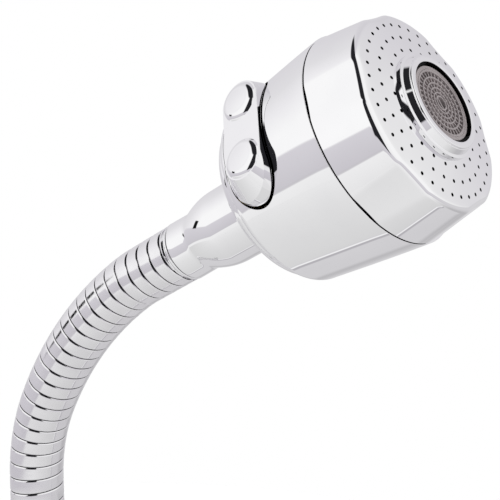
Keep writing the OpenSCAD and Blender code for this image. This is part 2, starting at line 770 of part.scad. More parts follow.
module rocker() {
    plate_r = shell_bore_r + 0.6;
    plate_front_z = rocker_z - rocker_hw - 2;
    plate_len = rear_z - plate_front_z;
    color(chrome)
        head_frame()
            difference() {
                union() {
                    difference() {
                        intersection() {
                            rocker_prism(0, window_r, shell_r + 10);
                            union() {
                                rotate_extrude($fn = 96)
                                    polygon(concat([[0, -rear_z], [0, -plate_front_z]],
                                        [for (i = [0:6]) let (z = plate_front_z + plate_len * i / 6)
                                            [shell_side(z) + 0.15, -z]]));
                                diverter_frame() {
                                    pad(1);
                                    pad(-1);
                                    pad_bridge();
                                }
                            }
                        }
                        rod(plate_r, 0, back_z, 96);
                    }
                    diverter_frame() {
                        translate([pivot_r, 0, -hub_half])
                            cylinder(r = 2.4, h = 2 * hub_half, $fn = 32);
                        translate([pivot_r, -1.6, -hub_half])
                            cube([plate_r - pivot_r + 0.6, 3.2, 2 * hub_half]);
                        translate([spool_axis_r, -1.3, -2])
                            cube([arm_len, 2.6, 4]);
                        translate([spool_axis_r, 0, -2])
                            cylinder(r = tip_r, h = 4, $fn = 32);
                    }
                }
                diverter_frame()
                    translate([pivot_r, 0, 0])
                        cylinder(r = pin_r + 0.06, h = 40, center = true, $fn = 32);
            }
}

module rocker_pin() {
    half = hub_half + slip + lug_t;
    color(steel)
        head_frame()
            diverter_frame()
                translate([pivot_r, 0, -half])
                    cylinder(r = pin_r, h = 2 * half, $fn = 32);
}

module hole_ring(r, n) {
    for (i = [0:n - 1])
        rotate([0, 0, face_clock + 360 * i / n])
            translate([r, 0, face_h(r) - face_t - 1])
                cylinder(r = hole_r, h = face_t + 2, $fn = 16);
}

module front_bezel() {
    inner_r = rim_r - 1.5;
    corner = [bezel_front_r + 0.07, -0.44];
    color(chrome)
        head_frame()
            difference() {
                rotate_extrude($fn = 96)
                    polygon(concat([[face_hole_r, face_h(face_hole_r) - face_t], [face_hole_r, face_h(face_hole_r)]],
                        fillet([face_hole_r, face_h(face_hole_r)], corner, [bezel_r, -seam_z], bezel_edge_r, 6),
                        [[bezel_r, -seam_z], [rim_r + slip, -seam_z], [rim_r + slip, -bezel_step_z],
                         [inner_r, -bezel_step_z], [inner_r, face_h(inner_r) - face_t]]));
                for (i = [0:5])
                    rotate([0, 0, face_clock + 60 * i])
                        translate([flat_front, 0, 0])
                            rotate([0, -flat_lean, 0])
                                translate([0, -20, -30])
                                    cube([10, 40, 40]);
                hole_ring(ring_1_r, ring_1_n);
                hole_ring(ring_2_r, ring_2_n);
                hole_ring(ring_3_r, ring_3_n);
            }
}

module bezel_gasket() {
    color(rubber)
        head_frame()
            ring(rim_r, shell_bore_r + 0.1, bezel_step_z, rim_z);
}

module centre_tube() {
    top = face_t - face_h(face_hole_r + 0.8) + 0.05;
    socket_r = spigot_r + fit;
    floor_z = core_flange_z - 0.05;
    color(white)
        head_frame()
            rotate_extrude($fn = round_fn)
                polygon([[face_hole_r - fit, -top], [tube_r, -top - face_slope], [tube_r, -tube_seat_z - 1.4],
                         [spigot_r + 1.7, -tube_seat_z - 5], [spigot_r + 1.7, -floor_z], [socket_r, -floor_z],
                         [socket_r, -core_flange_z + spigot_len + 0.1], [centre_bore_r + 0.4, -core_flange_z + spigot_len + 0.1],
                         [centre_bore_r + 0.4, -tube_seat_z - 3], [8.4, -tube_seat_z], [face_hole_r - fit, -tube_seat_z]]);
}

module aerator_collar() {
    foot_z = face_h(collar_foot_r);
    lip_z = insert_z - grille_t;
    color(chrome)
        head_frame()
            rotate_extrude($fn = 96)
                polygon(concat([[collar_thread_r, -collar_thread_len], [collar_thread_r, foot_z - 0.35]],
                    [[collar_thread_r, face_h(collar_thread_r) + 0.02], [collar_foot_r, foot_z + 0.02],
                     [collar_foot_r, foot_z + 0.3], [collar_side_r, foot_z + 0.42]],
                    fillet([collar_side_r, foot_z + 0.42], [collar_rim_r, collar_h], [collar_mouth_r, collar_h], 0.45, 5),
                    fillet([collar_rim_r, collar_h], [collar_mouth_r, collar_h], [collar_mouth_r, lip_z], 0.25, 3),
                    [[collar_mouth_r, lip_z + 0.2], [insert_r + slip, lip_z + 0.2], [insert_r + slip, lip_z - 1],
                     [insert_r + 0.9, lip_z - 1], [insert_r + 0.9, -collar_thread_len]]));
}

module aerator_gasket() {
    color(rubber)
        head_frame()
            ring(collar_thread_r - 0.1, 8.4, collar_thread_len, tube_seat_z);
}

// one row of cells between the radii r0 and r1, with a rib between each two
module cell_row(r0, r1, n) {
    rib_deg = grille_rib / (r0 + r1) * 2 * 180 / PI;
    for (i = [0:n - 1])
        rotate([0, 0, face_clock + 360 * i / n])
            translate([0, 0, insert_z - grille_t - 1])
                rotate_extrude(angle = 360 / n - rib_deg, $fn = 48)
                    translate([r0, 0])
                        square([r1 - r0, grille_t + 2]);
}

module aerator_grille() {
    cell_r = [8.55, 7.08, 6.72, 5.53, 5.17, 3.98, 3.62, 2.1];
    cells = [34, 26, 20, 12];
    color(grey)
        head_frame()
            difference() {
                rod(insert_r, -insert_z, -insert_z + grille_t);
                for (i = [0:3])
                    cell_row(cell_r[2 * i + 1], cell_r[2 * i], cells[i]);
                for (a = [0:90:270])
                    rotate([0, 0, a + face_clock])
                        translate([0.25, 0.25, insert_z - grille_t - 1])
                            cube([1.05, 1.05, grille_t + 2]);
            }
}

module aerator_body() {
    top = insert_z - grille_t;
    wall = 1.2;
    color(grey)
        head_frame()
            difference() {
                rotate_extrude($fn = round_fn)
                    polygon([[0, -collar_thread_len + 0.6], [insert_r + 0.8, -collar_thread_len + 0.6],
                             [insert_r + 0.8, top - 1.05], [insert_r, top - 1.05], [insert_r, top],
                             [insert_r - wall, top], [insert_r - wall, -collar_thread_len + 1.6],
                             [0, -collar_thread_len + 1.6]]);
                for (i = [0:11])
                    rotate([0, 0, 30 * i])
                        translate([5.6, 0, -collar_thread_len - 1])
                            cylinder(r = 0.8, h = 4, $fn = 16);
            }
}

module flow_regulator() {
    z1 = -collar_thread_len + 0.6;
    color(white)
        head_frame()
            difference() {
                translate([0, 0, z1 - 1.5])
                    cylinder(r = 8.2, h = 1.5, $fn = round_fn);
                for (i = [0:5])
                    rotate([0, 0, 60 * i])
                        translate([4.6, 0, z1 - 3])
                            cylinder(r = 1.1, h = 5, $fn = 16);
            }
}

module aerator_screen() {
    z1 = -collar_thread_len - 0.9;
    color(steel)
        head_frame()
            difference() {
                translate([0, 0, z1 - 0.5])
                    cylinder(r = 8.2, h = 0.5, $fn = round_fn);
                for (x = [-3:3])
                    for (y = [-3:3])
                        if (norm([x, y]) < 3.6)
                            translate([x * 2 - 0.75, y * 2 - 0.75, z1 - 2])
                                cube([1.5, 1.5, 3]);
            }
}

hose_casing();
inner_hose();
upper_spigot();
lower_tail();
lower_ferrule();
union_nut();
base_washer();
cone_nut();
inlet_washer();
filter_screen();
rear_shell();
valve_body();
core_oring();
core_screws();
bore_plugs();
spool();
spool_orings();
rocker();
rocker_pin();
front_bezel();
bezel_gasket();
centre_tube();
centre_oring();
aerator_collar();
aerator_gasket();
aerator_grille();
aerator_body();
flow_regulator();
aerator_screen();
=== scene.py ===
import json
import math

import bmesh
import bpy
from mathutils import Matrix, Vector


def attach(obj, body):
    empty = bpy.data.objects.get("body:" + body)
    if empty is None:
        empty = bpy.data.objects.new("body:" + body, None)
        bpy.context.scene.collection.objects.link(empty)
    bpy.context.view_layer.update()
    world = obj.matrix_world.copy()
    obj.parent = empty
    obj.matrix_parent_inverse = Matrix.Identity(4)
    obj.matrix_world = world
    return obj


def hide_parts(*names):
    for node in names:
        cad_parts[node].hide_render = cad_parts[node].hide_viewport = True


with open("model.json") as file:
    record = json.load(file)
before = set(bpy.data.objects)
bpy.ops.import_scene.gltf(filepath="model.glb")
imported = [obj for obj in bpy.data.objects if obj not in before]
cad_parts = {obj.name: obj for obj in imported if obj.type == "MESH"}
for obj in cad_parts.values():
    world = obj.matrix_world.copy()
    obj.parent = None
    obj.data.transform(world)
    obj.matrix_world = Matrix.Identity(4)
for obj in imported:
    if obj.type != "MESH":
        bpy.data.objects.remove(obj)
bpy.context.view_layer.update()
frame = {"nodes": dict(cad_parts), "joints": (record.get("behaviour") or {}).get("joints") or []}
print("frame loaded:", len(frame["nodes"]), "nodes")

mm = 0.001  # pieces are drawn in millimetres and put in place in metres
axis = 0.001  # radius of the outline points that lie on a turning axis

# the head is drawn with z forward out of the spray face and x to its top
swivelBehindFace = 69.94
swivel = next(j for j in frame["joints"] if j["name"] == "head_swivel")
forward = Vector(swivel["axis"]).normalized()
headTilt = math.atan2(forward.x, forward.z)
headAt = Vector(swivel["pos_m"]) + forward * swivelBehindFace * mm
headPlace = (Matrix.Translation(headAt) @ Matrix.Rotation(headTilt, 4, "Y")
             @ Matrix.Rotation(math.pi, 4, "Z") @ Matrix.Scale(mm, 4))
basePlace = Matrix.Scale(mm, 4)  # the union nut stands on the origin


# materials

def newMaterial(name, metallic=0.0):
    material = bpy.data.materials.new(name)
    material.use_nodes = True
    tree = material.node_tree
    tree.nodes.clear()
    shader = tree.nodes.new("ShaderNodeBsdfPrincipled")
    shader.inputs["Metallic"].default_value = metallic
    output = tree.nodes.new("ShaderNodeOutputMaterial")
    tree.links.new(shader.outputs["BSDF"], output.inputs["Surface"])
    return material, tree, shader


def coordinates(tree, stretch=(1, 1, 1), attribute=None):
    mapping = tree.nodes.new("ShaderNodeMapping")
    mapping.inputs["Scale"].default_value = stretch
    if attribute:
        source = tree.nodes.new("ShaderNodeAttribute")
        source.attribute_name = attribute
        tree.links.new(source.outputs["Vector"], mapping.inputs["Vector"])
    else:
        source = tree.nodes.new("ShaderNodeTexCoord")
        tree.links.new(source.outputs["Object"], mapping.inputs["Vector"])
    return mapping.outputs["Vector"]


def noise(tree, vector, scale, detail, roughness=0.5):
    node = tree.nodes.new("ShaderNodeTexNoise")
    node.inputs["Scale"].default_value = scale
    node.inputs["Detail"].default_value = detail
    node.inputs["Roughness"].default_value = roughness
    tree.links.new(vector, node.inputs["Vector"])
    return node.outputs["Fac"]


def between(tree, factor, low, high, start=0.3, end=0.7):
    node = tree.nodes.new("ShaderNodeMapRange")
    node.inputs["From Min"].default_value = start
    node.inputs["From Max"].default_value = end
    node.inputs["To Min"].default_value = low
    node.inputs["To Max"].default_value = high
    tree.links.new(factor, node.inputs["Value"])
    return node.outputs["Result"]


def ramp(tree, factor, stops):
    node = tree.nodes.new("ShaderNodeValToRGB")
    node.color_ramp.elements[0].position = stops[0][0]
    node.color_ramp.elements[0].color = (*stops[0][1], 1)
    node.color_ramp.elements[1].position = stops[-1][0]
    node.color_ramp.elements[1].color = (*stops[-1][1], 1)
    for position, colour in stops[1:-1]:
        element = node.color_ramp.elements.new(position)
        element.color = (*colour, 1)
    tree.links.new(factor, node.inputs["Fac"])
    return node.outputs["Color"]


def mixColours(tree, factor, first, second):
    # each colour is a socket or three numbers
    node = tree.nodes.new("ShaderNodeMix")
    node.data_type = "RGBA"
    tree.links.new(factor, node.inputs["Factor"])
    for socket, value in ((node.inputs[6], first), (node.inputs[7], second)):
        if isinstance(value, tuple):
            socket.default_value = (*value, 1)
        else:
            tree.links.new(value, socket)
    return node.outputs[2]


def darkWhere(tree, attribute, colour, dark):
    mask = tree.nodes.new("ShaderNodeAttribute")
    mask.attribute_name = attribute
    return mixColours(tree, mask.outputs["Fac"], colour, dark)


def bump(tree, shader, height, strength, distance):
    node = tree.nodes.new("ShaderNodeBump")
    node.inputs["Strength"].default_value = strength
    node.inputs["Distance"].default_value = distance
    tree.links.new(height, node.inputs["Height"])
    tree.links.new(node.outputs["Normal"], shader.inputs["Normal"])


def plating(name, paintedShade=None):
    # bright plating: a faint cloudiness in its tint and polish, and painted shade, near black, where the
    # attribute marks a recess
    material, tree, shader = newMaterial(name, metallic=1.0)
    place = coordinates(tree)
    cloud = noise(tree, place, scale=90, detail=4)
    wipe = noise(tree, place, scale=900, detail=2)
    tint = ramp(tree, cloud, [(0.3, (0.915, 0.912, 0.925)), (0.7, (0.945, 0.943, 0.952))])
    if paintedShade:
        # painted shade: near black where the mask is set
        tint = darkWhere(tree, paintedShade, tint, (0.02, 0.019, 0.02))
    tree.links.new(tint, shader.inputs["Base Color"])
    tree.links.new(between(tree, wipe, 0.012, 0.03), shader.inputs["Roughness"])
    return material


def woundSteel():
    # strip that keeps the fine lines of its rolling, which run round the hose; painted shade darkens the
    # slot that parts its turns
    material, tree, shader = newMaterial("woundSteel", metallic=1.0)
    lines = noise(tree, coordinates(tree, (30, 30, 2600), "straight"), scale=1, detail=4, roughness=0.6)
    patches = noise(tree, coordinates(tree, (1, 1, 1), "straight"), scale=160, detail=3)
    tint = ramp(tree, patches, [(0.3, (0.84, 0.83, 0.85)), (0.7, (0.90, 0.895, 0.91))])
    # painted shade: near black along the slot at the foot of each groove
    tree.links.new(darkWhere(tree, "seam", tint, (0.04, 0.038, 0.042)), shader.inputs["Base Color"])
    tree.links.new(between(tree, lines, 0.07, 0.16), shader.inputs["Roughness"])
    bump(tree, shader, lines, strength=0.05, distance=0.00002)
    return material


def turnedBrass():
    material, tree, shader = newMaterial("turnedBrass", metallic=1.0)
    place = coordinates(tree)
    tarnish = noise(tree, place, scale=220, detail=5, roughness=0.6)
    grain = noise(tree, place, scale=2600, detail=2)
    tint = ramp(tree, tarnish, [
        (0.25, (0.58, 0.40, 0.16)), (0.55, (0.74, 0.55, 0.25)), (0.8, (0.82, 0.66, 0.34))])
    tree.links.new(tint, shader.inputs["Base Color"])
    tree.links.new(between(tree, grain, 0.22, 0.38), shader.inputs["Roughness"])
    bump(tree, shader, grain, strength=0.08, distance=0.00003)
    return material


def plainSteel(name, rough):
    material, tree, shader = newMaterial(name, metallic=1.0)
    grain = noise(tree, coordinates(tree), scale=1800, detail=3)
    tint = ramp(tree, grain, [(0.3, (0.52, 0.52, 0.54)), (0.7, (0.66, 0.66, 0.68))])
    tree.links.new(tint, shader.inputs["Base Color"])
    tree.links.new(between(tree, grain, rough * 0.8, rough * 1.3), shader.inputs["Roughness"])
    return material


def mouldedPlastic(name, dark, light, rough):
    # a fine mould texture under a slightly uneven tint
    material, tree, shader = newMaterial(name)
    place = coordinates(tree)
    tint = noise(tree, place, scale=210, detail=3)
    grain = noise(tree, place, scale=2800, detail=2)
    tree.links.new(ramp(tree, tint, [(0.3, dark), (0.7, light)]), shader.inputs["Base Color"])
    tree.links.new(between(tree, grain, rough * 0.85, rough * 1.2), shader.inputs["Roughness"])
    bump(tree, shader, grain, strength=0.12, distance=0.00002)
    return material


materials = {
    "chrome": plating("brightChrome"),
    # chrome with painted shade in its recesses, where the mask is set
    "mouth": plating("mouthChromeWithPaintedShade", "paintedShade"),
    "steel_casing": woundSteel(),
    "brass": turnedBrass(),
    "rubber": mouldedPlastic("blackRubber", (0.014, 0.014, 0.015), (0.03, 0.03, 0.031), 0.6),
    "grey_plastic": mouldedPlastic("greyNozzlePlastic", (0.40, 0.355, 0.355), (0.47, 0.42, 0.42), 0.36),
    "acetal": mouldedPlastic("whiteAcetal", (0.74, 0.735, 0.70), (0.80, 0.795, 0.765), 0.34),
    "liner": mouldedPlastic("linerTube", (0.62, 0.63, 0.62), (0.72, 0.73, 0.72), 0.42),
    "mesh": plainSteel("wovenMesh", 0.3),
    "screws": plainSteel("screwSteel", 0.26),
}


# modelling helpers

def turnedShape(outline, steps):
    # outline points are (radius, height, rounding along each side of the corner)
    shape = bmesh.new()
    corners = [shape.verts.new((r, 0, z)) for r, z, *_ in outline]
    for start, end in zip(corners, corners[1:] + corners[:1]):
        shape.edges.new((start, end))
    for width in sorted({p[2] for p in outline if len(p) > 2}):
        rounded = [v for v, p in zip(corners, outline) if len(p) > 2 and p[2] == width]
        bmesh.ops.bevel(shape, geom=rounded, offset=width, offset_type="OFFSET", segments=6,
                        profile=0.5, affect="VERTICES", material=-1)
    bmesh.ops.spin(shape, geom=shape.verts[:] + shape.edges[:], cent=(0, 0, 0), axis=(0, 0, 1),
                   dvec=(0, 0, 0), angle=2 * math.pi, steps=steps, use_merge=True, use_duplicate=False)
    bmesh.ops.remove_doubles(shape, verts=shape.verts[:], dist=0.0005)
    bmesh.ops.recalc_face_normals(shape, faces=shape.faces[:])
    return shape


def joinTurned(shape, outline, steps, place=None):
    # adds a turned shape to one that is being made
    turned = turnedShape(outline, steps)
    if place:
        bmesh.ops.transform(turned, matrix=place, verts=turned.verts[:])
    joined = bpy.data.meshes.new("turned")
    turned.to_mesh(joined)
    turned.free()
    shape.from_mesh(joined)
    bpy.data.meshes.remove(joined)


def extrude(shape, offset):
    made = bmesh.ops.extrude_face_region(shape, geom=shape.faces[:])
    moved = [v for v in made["geom"] if isinstance(v, bmesh.types.BMVert)]
    bmesh.ops.translate(shape, vec=offset, verts=moved)
    return moved


def markPaintedShade(shape, isShaded):
    # the mask of painted shade that the dark tint of the mouth chrome reads
    paintedShade = shape.verts.layers.float.new("paintedShade")
    for v in shape.verts:
        v[paintedShade] = 1.0 if isShaded(math.hypot(v.co.x, v.co.y), v.co.z) else 0.0


def addPiece(name, shape, place=None):
    if place:
        bmesh.ops.transform(shape, matrix=place, verts=shape.verts[:])
    mesh = bpy.data.meshes.new(name)
    shape.to_mesh(mesh)
    shape.free()
    piece = bpy.data.objects.new(name, mesh)
    bpy.context.scene.collection.objects.link(piece)
    return piece


def applyModifiers(piece):
    state = bpy.context.evaluated_depsgraph_get()
    made = bpy.data.meshes.new_from_object(piece.evaluated_get(state))
    piece.modifiers.clear()
    old = piece.data
    piece.data = made
    bpy.data.meshes.remove(old)


def carve(piece, tool, operation="DIFFERENCE"):
    cut = piece.modifiers.new("carve", "BOOLEAN")
    cut.operation = operation
    cut.solver = "EXACT"
    cut.object = tool
    applyModifiers(piece)
    bpy.data.objects.remove(tool)


def softenEdges(piece, width, sharp=38):
    soften = piece.modifiers.new("soften", "BEVEL")
    soften.width = width
    soften.segments = 5
    soften.limit_method = "ANGLE"
    soften.angle_limit = math.radians(sharp)
    applyModifiers(piece)


def finishPiece(piece, material, body, nodes, sharp=32):
    mesh = piece.data
    mesh.materials.clear()
    mesh.materials.append(material)
    mesh.shade_smooth()
    mesh.set_sharp_from_angle(angle=math.radians(sharp))
    weigh = piece.modifiers.new("weigh", "WEIGHTED_NORMAL")
    weigh.keep_sharp = True
    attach(piece, body)
    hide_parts(*nodes)
    print("made", piece.name, len(mesh.polygons), "faces")


# gooseneck

hose = {
    "length": 200, "start": 16.5, "straightTop": 16.16,
    "bends": [(57.5, 26.2), (107, 28.7), (40, 5.8)],  # radius and angle, from the foot up
    "crest": 8.08, "wall": 0.7, "pitch": 200 / 45, "steps": 60, "lineTurn": 47,
    "groove": 0.2, "grooveShare": 0.13, "grooveSteps": 7,
    "slot": 0.028, "slotEdge": 0.004, "slotLip": 0.9, "slotDepth": 0.3,
    "weld": 0.002,
}


def hoseBends():
    arcs = [(radius, math.radians(angle)) for radius, angle in hose["bends"]]
    straightFoot = hose["length"] - hose["straightTop"] - sum(r * a for r, a in arcs)
    return [(straightFoot, 0)] + [(r * a, 1 / r) for r, a in arcs] + [(hose["straightTop"], 0)]


def hosePoint(along):
    x, z, angle = 0, hose["start"], 0
    for length, curvature in hoseBends():
        step = min(along, length)
        if curvature:
            turn = angle + step * curvature
            x += (math.cos(angle) - math.cos(turn)) / curvature
            z += (math.sin(turn) - math.sin(angle)) / curvature
            angle = turn
        else:
            x += step * math.sin(angle)
            z += step * math.cos(angle)
        along -= step
        if along <= 0:
            break
    return x, z, angle


def casingProfile():
    # share of the pitch and depth below the crest: flat crests, round grooves and a thin slot at their foot
    groove, slot = hose["groove"], hose["slot"]
    foot = groove + hose["slotDepth"]
    half = [(0.0, foot), (slot, foot), (slot + hose["slotEdge"], groove * hose["slotLip"])]
    for i in range(2, hose["grooveSteps"] + 1):
        part = i / hose["grooveSteps"]
        half.append((hose["grooveShare"] * part, groove * (0.5 + 0.5 * math.cos(math.pi * part))))
    return half + [(0.5, 0.0)] + [(1 - share, depth) for share, depth in reversed(half)]


def stripTurn():
    # one turn of the wound strip
    pitch = hose["pitch"]
    shape = bmesh.new()
    # the seam mask picks the slot's foot, where the material paints shade
    seam = shape.verts.layers.float.new("seam")
    line = []
    for share, depth in casingProfile():
        v = shape.verts.new((hose["crest"] - depth, 0, (share - 1) * pitch))
        v[seam] = 1.0 if depth > hose["groove"] else 0.0
        line.append(v)
    for start, end in zip(line, line[1:]):
        shape.edges.new((start, end))
    turned = Matrix.Rotation(-math.radians(hose["lineTurn"]), 3, "Z")
    bmesh.ops.rotate(shape, verts=shape.verts[:], matrix=turned)
    bmesh.ops.spin(shape, geom=shape.verts[:] + shape.edges[:], cent=(0, 0, 0), axis=(0, 0, 1),
                   dvec=(0, 0, pitch / hose["steps"]), angle=2 * math.pi, steps=hose["steps"],
                   use_merge=False, use_duplicate=False)
    return shape


def bendCasing(shape):
    # the material reads the place that each point had on the straight hose
    straight = shape.verts.layers.float_vector.new("straight")
    for v in shape.verts:
        v[straight] = v.co * mm
        x, z, angle = hosePoint(v.co.z)
        v.co = Vector((x + v.co.x * math.cos(angle), v.co.y, z - v.co.x * math.sin(angle)))


def makeCasing():
    casing = addPiece("gooseneckCasing", stripTurn())
    repeat = casing.modifiers.new("turns", "ARRAY")
    repeat.count = round(hose["length"] / hose["pitch"]) + 2
    repeat.use_relative_offset = False
    repeat.use_constant_offset = True
    repeat.constant_offset_displace = (0, 0, hose["pitch"])
    repeat.use_merge_vertices = True
    repeat.merge_threshold = hose["weld"]
    applyModifiers(casing)
    shape = bmesh.new()
    shape.from_mesh(casing.data)
    bmesh.ops.remove_doubles(shape, verts=shape.verts[:], dist=hose["weld"])
    for height, normal in ((0, -1), (hose["length"], 1)):
        bmesh.ops.bisect_plane(shape, geom=shape.verts[:] + shape.edges[:] + shape.faces[:], dist=1e-5,
                               plane_co=(0, 0, height), plane_no=(0, 0, normal), clear_outer=True)
    bmesh.ops.recalc_face_normals(shape, faces=shape.faces[:])
    outward = 0
    for f in shape.faces:
        middle = f.calc_center_median()
        outward += f.normal.x * middle.x + f.normal.y * middle.y
    if outward < 0:
        bmesh.ops.reverse_faces(shape, faces=shape.faces[:])
    bendCasing(shape)
    bmesh.ops.transform(shape, matrix=basePlace, verts=shape.verts[:])
    shape.to_mesh(casing.data)
    shape.free()
    wall = casing.modifiers.new("wall", "SOLIDIFY")
    wall.thickness = hose["wall"] * mm
    wall.offset = -1
    applyModifiers(casing)
    finishPiece(casing, materials["steel_casing"], "hose", ["hose_casing"], sharp=45)


makeCasing()


# lower end

unionNut = {
    "flats": 24, "height": 14, "upright": 0.35, "past": 0.05,
    "footChamfer": (1.2, 1.0), "topChamfer": (2.4, 2), "footRound": 0.3, "topRound": 0.4,
    "bore": 9.32, "lead": (1, 0.9), "boreDepth": 11.5, "neck": 7.25,
}
ferrule = {
    "radius": 9.1, "foot": 15.3, "length": 16, "floor": 1.2, "liner": 3.75, "casing": 8.18,
    "rings": (0.3, 0.5, 0.7), "ringHalf": (0.7, 0.35), "ringDepth": 0.25, "ringRound": 0.12,
    "footRound": 0.6, "topRound": 0.4,
}


def makeUnionNut():
    corner = unionNut["flats"] / math.sqrt(3)
    height = unionNut["height"]
    shape = bmesh.new()
    bmesh.ops.create_cone(shape, segments=6, radius1=corner, radius2=corner, depth=height, cap_ends=True,
                          cap_tris=False, matrix=Matrix.Translation((0, 0, height / 2)))
    upright = [e for e in shape.edges if abs(e.verts[0].co.z - e.verts[1].co.z) > 1]
    bmesh.ops.bevel(shape, geom=upright, offset=unionNut["upright"], offset_type="OFFSET", segments=4,
                    profile=0.5, affect="EDGES", material=-1)
    nut = addPiece("unionNut", shape)
    side = corner + unionNut["past"]
    footWide, footHigh = unionNut["footChamfer"]
    topWide, topHigh = unionNut["topChamfer"]
    turned = turnedShape([
        (axis, 0), (corner - footWide, 0), (side, footHigh, unionNut["footRound"]),
        (side, height - topHigh, unionNut["footRound"]), (corner - topWide, height, unionNut["topRound"]),
        (axis, height)], 128)
    carve(nut, addPiece("turned", turned), "INTERSECT")
    bore, neck, depth = unionNut["bore"], unionNut["neck"], unionNut["boreDepth"]
    leadWide, leadHigh = unionNut["lead"]
    hole = turnedShape([
        (axis, -1), (bore + leadWide, -1), (bore + leadWide, 0.01), (bore, leadHigh), (bore, depth),
        (neck, depth), (neck, height + 1), (axis, height + 1)], 96)
    carve(nut, addPiece("bore", hole))
    nut.data.transform(basePlace)
    finishPiece(nut, materials["chrome"], "union", ["union_nut"], sharp=25)


def makeFerrule():
    radius, foot, length, soft = ferrule["radius"], ferrule["foot"], ferrule["length"], ferrule["ringRound"]
    wide, narrow = ferrule["ringHalf"]
    deep = radius - ferrule["ringDepth"]
    outline = [(ferrule["liner"], foot), (radius, foot, ferrule["footRound"])]
    for share in ferrule["rings"]:  # crimped rings
        z = foot + length * share
        outline += [(radius, z - wide, soft), (deep, z - narrow, soft),
                    (deep, z + narrow, soft), (radius, z + wide, soft)]
    outline += [(radius, foot + length, ferrule["topRound"]), (ferrule["casing"], foot + length),
                (ferrule["casing"], foot + ferrule["floor"]), (ferrule["liner"], foot + ferrule["floor"])]
    piece = addPiece("ferrule", turnedShape(outline, 128), basePlace)
    finishPiece(piece, materials["chrome"], "hose", ["lower_ferrule"])


makeUnionNut()
makeFerrule()


# cone nut

coneNut = {
    "top": 50.44, "bell": 10.16, "mouth": 8.2, "end": 81.44, "bore": 8.43, "neck": 6.45, "seat": 69.94,
    "coneStart": 64.2, "coneLength": 9.6, "coneSteps": 20, "fall": (2.1, 1.15), "waist": 0.12,
    "bead": 1.0, "beadSwell": 0.02, "topRound": 0.5, "mouthRound": 0.42,
    "groove": 0.35, "grooveHalf": (0.16, 0.08), "grooveRound": (0.05, 0.1),
    "run": 1.2, "runSteps": 6,
}


def makeConeNut():
    mouth, bell, waist = coneNut["mouth"], coneNut["bell"], coneNut["waist"]
    start, length, end = coneNut["coneStart"], coneNut["coneLength"], coneNut["end"]
    outline = [(coneNut["bore"], -coneNut["top"]), (bell, -coneNut["top"], coneNut["topRound"])]
    # the shoulder falls slowly, then quickly, and meets the neck in a short hollow
    slow, quick = coneNut["fall"]
    for i in range(coneNut["coneSteps"] + 1):
        t = i / coneNut["coneSteps"]
        fall = (1 - t ** slow) ** quick
        outline.append((mouth - waist + (bell - mouth + waist) * fall, -start - length * t))
    groove = end - coneNut["bead"]
    for i in range(1, coneNut["runSteps"] + 1):
        t = i / coneNut["runSteps"]
        z = start + length + (groove - coneNut["run"] - start - length) * t
        outline.append((mouth - waist + waist * t, -z))
    wide, narrow = coneNut["grooveHalf"]
    lip, far = coneNut["grooveRound"]
    deep, bead = mouth - coneNut["groove"], mouth + coneNut["beadSwell"]
    outline += [(mouth, -groove + wide, lip), (deep, -groove + narrow), (deep, -groove - narrow),
                (bead, -groove - wide, far), (bead, -end, coneNut["mouthRound"]), (coneNut["neck"], -end),
                (coneNut["neck"], -coneNut["seat"]), (coneNut["bore"], -coneNut["seat"])]
    shape = turnedShape(outline, 160)
    # the line behind the bead at its mouth is painted dark, as shade in the groove
    markPaintedShade(shape, lambda radius, z: abs(radius - deep) < 0.02 and abs(z + groove) < 0.1)
    nut = addPiece("coneNut", shape, headPlace)
    finishPiece(nut, materials["mouth"], "head", ["cone_nut"])


makeConeNut()


# rear shell

shell = {
    "seam": 14.24, "rear": 42.64, "back": 50.14, "radius": 27.2, "drop": 3.0, "curve": 1.12,
    "sideSteps": 16, "edge": 2.4, "edgeTurn": 78, "edgeLead": 0.5, "domeEnd": 49.8, "roundSteps": 12,
    "boss": 11.16, "bossRound": 0.3, "seamRound": 0.1, "rim": (24.0, 7.5),
    # radius and distance behind the face, from the boss forward
    "inside": [(8.63, 50.14), (8.63, 47.5), (16.5, 46.2), (21.6, 43.7), (22.3, 42.5), (22.6, 27.0),
               (22.6, 7.5)],
    "windowGap": 0.38, "windowFore": 0.16,
}
diverter = {"clock": 59.4, "behind": 35.2, "halfWidth": 6.9, "endCentre": 9.7, "inner": 13, "outer": 38}
diverterTurn = (Matrix.Rotation(math.radians(diverter["clock"]), 4, "Z")
                @ Matrix.Translation((0, 0, -diverter["behind"])))


def shellSide(behind):
    share = max(0, behind - shell["seam"]) / (shell["rear"] - shell["seam"])
    return shell["radius"] - shell["drop"] * share ** shell["curve"]


def stadiumPrism(halfWidth, segments, low=diverter["inner"], high=diverter["outer"], trim=0):
    # the rocker's outline, drawn outwards along its centre line
    shape = bmesh.new()
    bmesh.ops.create_circle(shape, cap_ends=True, segments=segments, radius=halfWidth)
    for v in shape.verts:
        v.co.y += math.copysign(diverter["endCentre"] - trim, v.co.y)
    extrude(shape, (0, 0, high - low))
    bmesh.ops.recalc_face_normals(shape, faces=shape.faces[:])
    # z becomes the way out of the shell
    outward = Matrix.Translation((low, 0, 0)) @ Matrix.Rotation(math.pi / 2, 4, "Y")
    bmesh.ops.transform(shape, matrix=outward, verts=shape.verts[:])
    return shape


